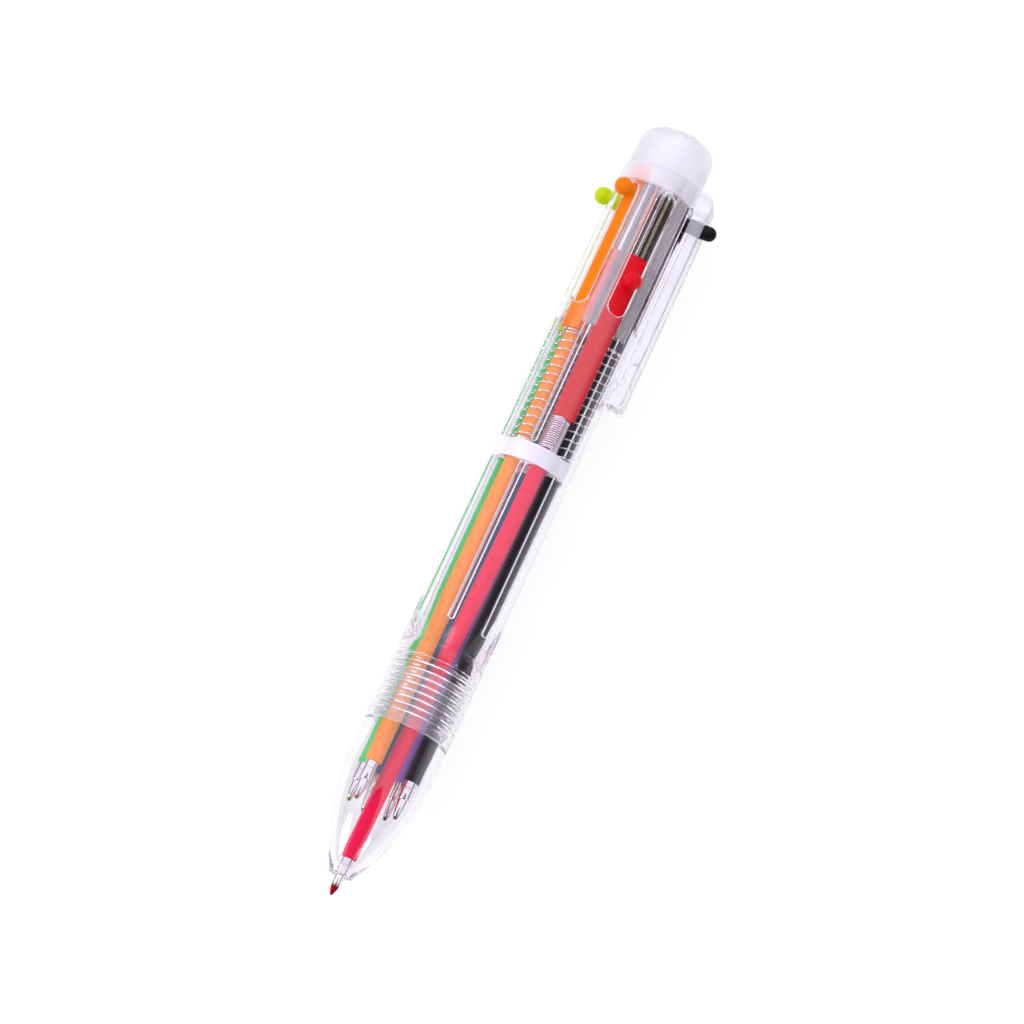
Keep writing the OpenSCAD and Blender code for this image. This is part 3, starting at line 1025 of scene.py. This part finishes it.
def knob_profile(long_stem):
    """(height, radius) points up the thumb knob, from inside the bar to its top."""
    if long_stem:
        end = Pen.axis_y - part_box("slider_black")[0].y
        points = [
            (SLIDER_OUT_R - MM, 0.0),
            (SLIDER_OUT_R - MM, STEM_R + STEM_FOOT),
            (SLIDER_OUT_R, STEM_R + STEM_FOOT),
            (SLIDER_OUT_R + 0.6 * STEM_FOOT, STEM_R + 0.24 * STEM_FOOT),
            (SLIDER_OUT_R + 1.6 * STEM_FOOT, STEM_R),
            (end - STEM_R - 1.6 * STEM_FOOT, STEM_R),
        ]
        for a in arc(0, math.pi / 2, 14):
            points.append((end - STEM_R + STEM_R * math.sin(a), STEM_R * math.cos(a)))
        points[-1] = (end, 0.0)
        return points
    base = SLIDER_OUT_R - 0.05 * MM
    points = [(SLIDER_OUT_R - MM, 0.0), (SLIDER_OUT_R - MM, NECK_FOOT_R), (base, NECK_FOOT_R)]
    waist = math.asin(NECK_R / KNOB_R)
    neck_top = KNOB_AT - KNOB_R * math.cos(waist)
    for t in arc(0, 1, 8)[1:]:
        a = t * math.pi / 2
        fall = (NECK_FOOT_R - NECK_R) * (1 - math.sin(a))
        points.append((base + (neck_top - base) * 0.55 * (1 - math.cos(a)), NECK_R + fall))
    points.append((neck_top - 0.1 * MM, NECK_R * 1.01))
    for a in arc(waist, math.pi, 18)[1:]:
        points.append((KNOB_AT - KNOB_R * math.cos(a), KNOB_R * math.sin(a)))
    points[-1] = (KNOB_AT + KNOB_R, 0.0)
    return points


def make_slider(ink):
    low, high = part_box("slider_" + ink)
    bar_low, bar_high = low.x + PEG_H, high.x
    turn = Pen.station(Pen.angle(ink))
    outline = u_section(SLIDER_W / 2 - 0.01 * MM, SLIDER_OUT_R)
    cam_from = Pen.refill_r - CAM_DEPTH
    middle_u = (Pen.refill_r + SLIDER_OUT_R - SLIDER_W / 2) / 2
    edge, half_edge = 0.16 * MM, 0.05 * MM
    rings = []
    for x, inset in (
        (bar_low, edge),
        (bar_low + half_edge, half_edge),
        (bar_low + edge, 0),
        (bar_high - CAM_LENGTH, 0),
        (bar_high - edge, 0),
        (bar_high - half_edge, half_edge),
        (bar_high, edge),
    ):
        ring = []
        for u, v in outline:
            length = math.hypot(u - middle_u, v)
            k = (length - inset) / length
            slope = max(0.0, cam_from - u) * CAM_SLOPE if x > bar_high - CAM_LENGTH else 0.0
            ring.append((x - slope, middle_u + (u - middle_u) * k, v * k))
        rings.append(ring)
    slider = make_object("slider_" + ink, *rings_mesh(rings), turn)
    knob_x = bar_high - KNOB_FROM_END
    to_radial = Matrix(((0, 1, 0, knob_x), (1, 0, 0, 0), (0, 0, 1, 0), (0, 0, 0, 1)))
    knob = make_object("knob", *revolved(knob_profile(ink == "black"), 64), turn @ to_radial)
    peg_profile = [(bar_low + MM, 0.0), (bar_low + MM, PEG_R), (low.x + 0.3 * MM, PEG_R)]
    peg_profile += [(low.x, PEG_R - 0.2 * MM), (low.x, 0.0)]
    peg = make_object("peg", *revolved(peg_profile, 32), Pen.refill_axis(ink))
    combine(slider, [knob, peg], "UNION")
    smooth(slider, 32)
    plastic = moulded_plastic("slider_plastic_" + ink, SLIDER_COLOURS[ink])
    finish_piece(slider, plastic, ["slider_" + ink], "slider_" + ink)


for ink in INKS:
    make_slider(ink)


# ---- Springs ----

SPRING_R = 1.75 * MM
WIRE_D = 0.28 * MM
SPRING_COILS = 16
CLOSED_COILS = 3.4  # at both ends together
COIL_STEPS = 28
WIRE_SIDES = 10
CLOSED_PITCH = 1.04 * WIRE_D


def coil_rise(turns, length):
    """How far along the spring the wire is after a number of turns: its ends are closed."""
    end = CLOSED_COILS / 2
    closed = end * CLOSED_PITCH
    if turns < end:
        rise = turns * CLOSED_PITCH
    elif turns > SPRING_COILS - end:
        rise = length - WIRE_D - (SPRING_COILS - turns) * CLOSED_PITCH
    else:
        free = length - WIRE_D - 2 * closed
        rise = closed + (turns - end) * free / (SPRING_COILS - CLOSED_COILS)
    return rise + WIRE_D / 2


def make_spring(ink):
    low, high = Pen.collar_high + 0.02 * MM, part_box("spring_" + ink)[1].x
    middle = SPRING_R - WIRE_D / 2
    rings = []
    for step in range(SPRING_COILS * COIL_STEPS + 1):
        turns = step / COIL_STEPS
        a = 2 * math.pi * turns
        x = low + coil_rise(turns, high - low)
        ring = []
        for i in range(WIRE_SIDES):
            b = 2 * math.pi * i / WIRE_SIDES
            r = middle + WIRE_D / 2 * math.cos(b)
            ring.append((x + WIRE_D / 2 * math.sin(b), r * math.cos(a), r * math.sin(a)))
        rings.append(ring)
    place = Pen.refill_axis(ink)
    spring = make_object("spring_" + ink, *rings_mesh(rings), place)
    smooth(spring, 50)
    if ink == OUT:
        finish_piece(spring, WIRE, ["spring_" + ink])
        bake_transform(spring)
    else:
        finish_piece(spring, WIRE, ["spring_" + ink], "pen_body")
        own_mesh(spring)


for ink in INKS:
    make_spring(ink)


# ---- Refills ----

TUBE_R = 1.35 * MM
TUBE_BORE_R = 0.95 * MM
TUBE_LOW = 6 * MM  # from zero to the tube's lower end when the refill is out
FILL_R = TUBE_BORE_R - 0.02 * MM
FILL_GAP = 0.02 * MM
STEM_H = 3 * MM  # the point's stem in the tube
INK_H = 68 * MM
PLUG_H = 2.98 * MM
DISH = 0.25 * MM  # depth of the hollow on top of a liquid
BALL_R = 0.35 * MM
BEND_LENGTH = 40 * MM


def bent(x, u, v, pivot_x):
    """A point of the refill that is out, (u, v) from the refill's own axis."""
    s = pivot_x - x
    if s <= 0:
        return x, u, v
    a = smoothstep(s / BEND_LENGTH) * Pen.bend
    return (
        pivot_x - s * math.cos(a) - u * math.sin(a),
        u * math.cos(a) - s * math.sin(a),
        v,
    )


def refill_rings(ink, profile, sides):
    """A closed (x, radius) outline turned about the refill's axis, then bent if it is out."""
    verts, faces = revolved(profile, sides)
    if ink == OUT:
        pivot_x = JOINTS["bend_" + ink]["pos_m"][0]
        verts = [bent(x, u, v, pivot_x) for x, u, v in verts]
    return verts, faces, Pen.refill_axis(ink)


def bends_with(piece):
    """Bakes the refill piece's placement into its mesh."""
    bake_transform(piece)


def drawn_back(ink):
    """How far the refill stands back at rest."""
    return 0.0 if ink == OUT else Pen.travel


def lengthwise(low, high, step=1.6 * MM):
    """Places along a tube, close enough together for it to bend smoothly."""
    return arc(low, high, max(2, int((high - low) / step)))


def make_liquid(name, ink, material, low, high):
    """A column of ink or grease in the tube, with a hollow upper surface."""
    profile = [(low, 0.0)] + [(x, FILL_R) for x in lengthwise(low, high)]
    profile += [(high - DISH * 0.6, FILL_R * 0.7), (high - DISH, FILL_R * 0.35), (high - DISH, 0.0)]
    piece = make_object(name, *refill_rings(ink, profile, 32))
    smooth(piece, 50)
    finish_piece(piece, material, [name])
    bends_with(piece)


def make_refill(ink):
    """The tube, the ink in it and the grease plug behind the ink."""
    low = TUBE_LOW + Pen.zero + drawn_back(ink)
    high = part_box("slider_" + ink)[0].x + PEG_H - 0.02 * MM
    soft = 0.08 * MM
    outer = [(low, TUBE_R - soft)] + [(x, TUBE_R) for x in lengthwise(low + soft, high - soft)]
    outer += [(high, TUBE_R - soft)]
    inner = [(x, TUBE_BORE_R) for x in reversed(lengthwise(low, high))]
    plastic = refill_plastic("tube_plastic_" + ink, TUBE_COLOURS[ink])
    tube = make_object("refill_tube_" + ink, *refill_rings(ink, outer + inner, 48))
    smooth(tube, 40)
    finish_piece(tube, plastic, ["refill_tube_" + ink])
    bends_with(tube)

    ink_low = low + STEM_H + FILL_GAP
    ink_high = ink_low + INK_H
    liquid = ink_liquid("ink_liquid_" + ink, SLIDER_COLOURS[ink])
    make_liquid("ink_" + ink, ink, liquid, ink_low, ink_high)
    plug_low = ink_high + FILL_GAP
    make_liquid("ink_plug_" + ink, ink, PLUG, plug_low, plug_low + PLUG_H)


# (x past zero, radius) up the metal point, in millimetres: the rolled lip, the cone, a step and
# a body with one groove
POINT_OUTLINE = (
    (-0.28, 0.0), (-0.28, 0.22), (-0.34, 0.29), (-0.31, 0.33), (-0.1, 0.42), (0.3, 0.56),
    (1.1, 0.74), (2.45, 0.86), (2.78, 0.87), (2.82, 0.9), (2.86, 1.0), (2.95, 1.05),
    (4.6, 1.05), (4.66, 0.99), (4.8, 0.99), (4.86, 1.05), (5.9, 1.05), (5.98, 1.0),
)
STAIN_OUT = 1.7 * MM  # how far up the ink stains the point that is out
STAIN_BACK = 0.5 * MM
STAIN_DEPTH = 0.35
WET_DEPTH = 0.3


def make_point(ink):
    """The turned metal point and its ball."""
    zero = Pen.zero + drawn_back(ink)
    low = zero - Pen.tip_reach
    tube_low = zero + TUBE_LOW
    stem_high = tube_low + STEM_H
    profile = [(zero + x * MM, r * MM) for x, r in POINT_OUTLINE]
    profile += [(tube_low - FILL_GAP, FILL_R), (stem_high - 0.1 * MM, FILL_R)]
    profile += [(stem_high, FILL_R - 0.1 * MM), (stem_high, 0.0)]
    tip = make_object("tip_" + ink, *refill_rings(ink, profile, 64))
    smooth(tip, 30)
    stained = zero + (STAIN_OUT if ink == OUT else STAIN_BACK)
    stain = (shade(SLIDER_COLOURS[ink], STAIN_DEPTH), low - 2 * MM, stained)
    metal = bright_metal("point_metal_" + ink, POINT_COLOUR, 0.06, 0.16, 0.2, stain)
    finish_piece(tip, metal, ["tip_" + ink], "refill_end_" + ink)
    profile = [
        (low + BALL_R - BALL_R * math.cos(a), BALL_R * math.sin(a)) for a in arc(0, math.pi, 16)
    ]
    profile[0] = (low, 0.0)
    profile[-1] = (low + 2 * BALL_R, 0.0)
    ball = make_object("ball_" + ink, *refill_rings(ink, profile, 32))
    smooth(ball, 60)
    wet = ink_liquid("wet_ball_" + ink, shade(SLIDER_COLOURS[ink], WET_DEPTH))
    finish_piece(ball, wet, ["ball_" + ink], "refill_end_" + ink)


for ink in INKS:
    make_refill(ink)
    make_point(ink)


# ---- Floor, light and view ----

FLOOR_HALF = 3.0
FLOOR_GAP = 0.2 * MM
FLOOR_GLOW = 0.85  # keeps the table white in the pen's own shadow


def make_floor():
    """A plain white table, which fills the picture in views from 15 degrees up or steeper."""
    corners = [(x * FLOOR_HALF, y * FLOOR_HALF, 0) for x, y in ((-1, -1), (1, -1), (1, 1), (-1, 1))]
    floor = make_object("floor", corners, [(0, 1, 2, 3)])
    floor.location.z = -FLOOR_GAP
    material, tree, shader, _ = new_material("floor_paper")
    grain = pattern(tree, 300, 2.0)
    tone = two_tone(tree, grain, (0.19, 0.19, 0.19), (0.21, 0.21, 0.21))
    tree.links.new(tone, shader.inputs["Base Color"])
    shader.inputs["Roughness"].default_value = 0.9
    shader.inputs["Specular IOR Level"].default_value = 0.1
    shader.inputs["Emission Color"].default_value = (1, 1, 1, 1)
    shader.inputs["Emission Strength"].default_value = FLOOR_GLOW
    floor.data.materials.append(material)
    floor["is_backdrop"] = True


def soft_box(name, aside, ahead, distance, size, power):
    """A rectangular lamp that faces the pen's middle.

    aside is its angle round the pen from the camera, towards the clip, and ahead the part of its
    direction that runs towards the cap.
    """
    turn = VIEW_TURN + math.radians(aside)
    across = math.sqrt(1 - ahead * ahead)
    way = Vector((ahead, -across * math.sin(turn), across * math.cos(turn)))
    data = bpy.data.lights.new(name, "AREA")
    data.shape = "RECTANGLE"
    data.size, data.size_y = size
    data.energy = power
    lamp = bpy.data.objects.new(name, data)
    bpy.context.scene.collection.objects.link(lamp)
    place = Vector((0, Pen.axis_y, Pen.axis_z)) + way * distance
    facing = way.to_track_quat("Z", "X")
    lamp.matrix_world = Matrix.Translation(place) @ facing.to_matrix().to_4x4()


HORIZON_COLOUR = (0.16, 0.15, 0.18)
HORIZON_EDGE = (0.3, 0.62)  # upward parts of the directions where the horizon ends
TENT_COLOUR = (1.26, 1.24, 1.42)
GAP_COLOUR = (0.10, 0.09, 0.11)
GAP_MIDDLE = 0.64  # how far towards the tip the dark gap's middle is
GAP_SIZE = (0.60, 0.38)  # along the pen and across it
GAP_EDGE = (0.97, 1.03)  # where the gap ends, in gap sizes


def make_world():
    """A white light tent, dark at the horizon, with a dark gap where the camera looks in."""
    world = bpy.data.worlds.new("studio")
    bpy.context.scene.world = world
    world.use_nodes = True
    tree = world.node_tree
    background = tree.nodes["Background"]
    where = tree.nodes.new("ShaderNodeTexCoord")

    def along(direction, offset, size):
        """How far a direction is from the gap's middle along one of its axes."""
        dot = tree.nodes.new("ShaderNodeVectorMath")
        dot.operation = "DOT_PRODUCT"
        dot.inputs[1].default_value = direction
        tree.links.new(where.outputs["Generated"], dot.inputs[0])
        return scaled(tree, "MULTIPLY_ADD", dot.outputs["Value"], 1 / size, offset / size)

    above = map_range(tree, along((0, 0, 1), 0, 1), *HORIZON_EDGE)
    both = tree.nodes.new("ShaderNodeCombineXYZ")
    tree.links.new(along((1, 0, 0), GAP_MIDDLE, GAP_SIZE[0]), both.inputs["X"])
    side = (0, -math.cos(VIEW_TURN), -math.sin(VIEW_TURN))
    tree.links.new(along(side, 0, GAP_SIZE[1]), both.inputs["Y"])
    length = tree.nodes.new("ShaderNodeVectorMath")
    length.operation = "LENGTH"
    tree.links.new(both.outputs["Vector"], length.inputs[0])
    outside = map_range(tree, length.outputs["Value"], *GAP_EDGE)
    tent = mixed(tree, above, HORIZON_COLOUR, TENT_COLOUR)
    colour = mixed(tree, outside, GAP_COLOUR, tent)
    tree.links.new(colour, background.inputs["Color"])


make_floor()
make_world()
soft_box("key", -62, -0.5, 1.0, (0.3, 0.3), 3.0)
soft_box("side", 50, -0.55, 1.0, (0.2, 0.2), 0.9)
soft_box("rear", -10, 0.86, 1.1, (0.6, 0.4), 2.2)

LIGHT_BOUNCES = 96  # light runs round inside the clear walls many times

scene = bpy.context.scene
scene.view_settings.view_transform = "Standard"
scene.cycles.max_bounces = LIGHT_BOUNCES
scene.cycles.transmission_bounces = LIGHT_BOUNCES
scene.cycles.transparent_max_bounces = LIGHT_BOUNCES
scene.cycles.glossy_bounces = LIGHT_BOUNCES
scene.cycles.diffuse_bounces = 4
